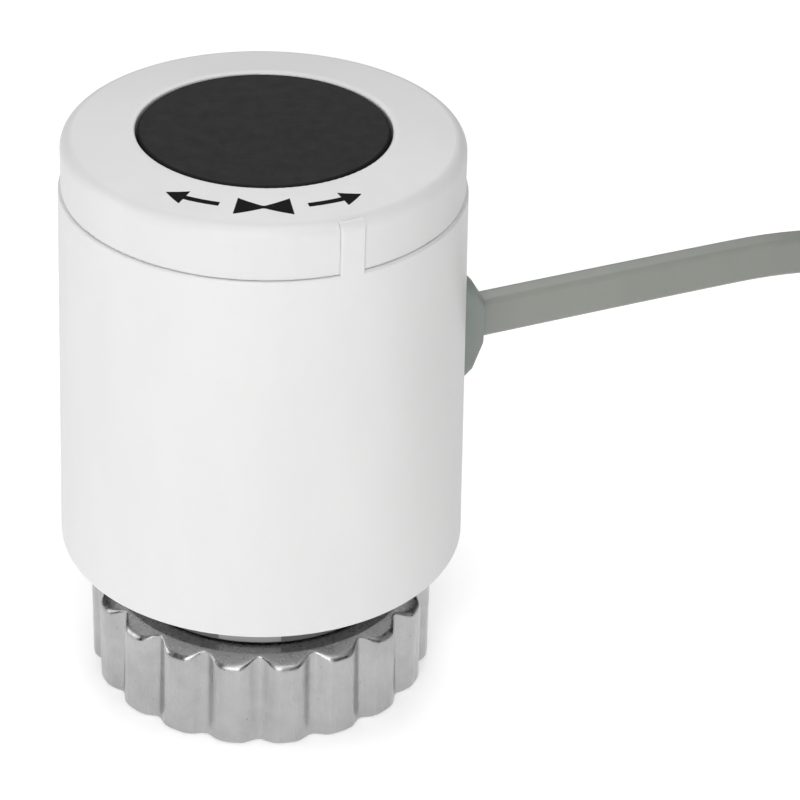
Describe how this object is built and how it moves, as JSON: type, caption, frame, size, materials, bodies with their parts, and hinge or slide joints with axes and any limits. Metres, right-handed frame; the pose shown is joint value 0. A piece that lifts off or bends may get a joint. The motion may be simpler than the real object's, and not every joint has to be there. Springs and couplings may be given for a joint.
{
  "type": "thermal valve actuator head",
  "caption": "Normally closed thermal valve actuator head: white tapered housing, black position disc, waved nickel-plated M30 union nut and a flat two-core lead.",
  "frame": {"origin": "centre of the union nut's mouth, on the axis of its thread, in the plane of its lower rim", "axes": "+Z along the thread's axis, up through the position disc; -Z is the way the valve leaves the thread; -Y is the front, where the index tongue is just right of centre; the lead leaves 23 degrees from +X towards +Y"},
  "size_m": [0.1676, 0.0752, 0.0683],
  "materials": {
    "white_plastic": "fine moulded texture",
    "cap_plastic": "fine moulded texture",
    "black_plastic": "spark-eroded texture",
    "grey_plastic": "moulded",
    "cream_plastic": "moulded engineering plastic",
    "gland_grey": "moulded",
    "lead_sheath": "extruded, satin",
    "brown_core": "extruded",
    "blue_core": "extruded",
    "black_rubber": "matte",
    "wax": "copper-filled wax",
    "ptc_ceramic": "fired ceramic",
    "nickel_plate": "nickel-plated",
    "zinc_steel": "zinc-plated",
    "spring_steel": "oiled",
    "brass_turned": "turned",
    "brass_strip": "stamped",
    "tinned_copper": "tinned"
  },
  "bodies": {
    "housing": {"housing_shell": "white_plastic", "top_cap": "cap_plastic", "cap_seal": "black_rubber", "neck_base": "grey_plastic", "base_screws": "zinc_steel", "nut_retaining_ring": "spring_steel", "pin_guide_bush": "grey_plastic", "pin_seal": "black_rubber", "heater_holder": "cream_plastic", "holder_screws": "zinc_steel", "lower_contact": "brass_strip", "upper_contact": "brass_strip", "heater_element": "ptc_ceramic", "wax_cartridge_cup": "brass_turned", "wax_charge": "wax", "cartridge_diaphragm": "black_rubber", "cartridge_guide": "brass_turned", "closing_spring": "spring_steel", "cable_gland": "gland_grey", "cable_clamp": "zinc_steel", "crimp_sleeves": "tinned_copper", "cord_tube": "lead_sheath", "cord_coil": "lead_sheath", "live_core": "brown_core", "neutral_core": "blue_core", "live_tail": "brown_core", "neutral_tail": "blue_core", "wire_ferrules": "tinned_copper"},
    "carriage": {"lift_carriage": "cream_plastic", "piston_pad": "spring_steel", "spring_washer": "zinc_steel", "indicator_disc": "black_plastic", "overtravel_spring": "spring_steel", "pin_circlip": "spring_steel"},
    "piston": {"wax_piston": "spring_steel"},
    "pin": {"thrust_pin": "cream_plastic"},
    "nut": {"union_nut": "nickel_plate"}
  },
  "joints": [
    {"name": "carriage_lift", "type": "slide", "parent": "housing", "child": "carriage", "axis": [0, 0, 1], "range_m": [0, 0.004], "stiffness_N_per_m": 200, "springref_m": -0.004, "deforming": ["closing_spring"]},
    {"name": "piston_extend", "type": "slide", "parent": "housing", "child": "piston", "axis": [0, 0, 1], "range_m": [0, 0.004]},
    {"name": "pin_overtravel", "type": "slide", "parent": "carriage", "child": "pin", "axis": [0, 0, 1], "range_m": [0, 0.0015], "stiffness_N_per_m": 60, "springref_m": -0.002, "deforming": ["overtravel_spring"]},
    {"name": "nut_spin", "type": "hinge", "parent": "housing", "child": "nut", "pos_m": [0, 0, 0], "axis": [0, 0, 1], "continuous": true}
  ],
  "couplings": [
    {"joint": "piston_extend", "follows": "carriage_lift", "ratio": 1}
  ]
}
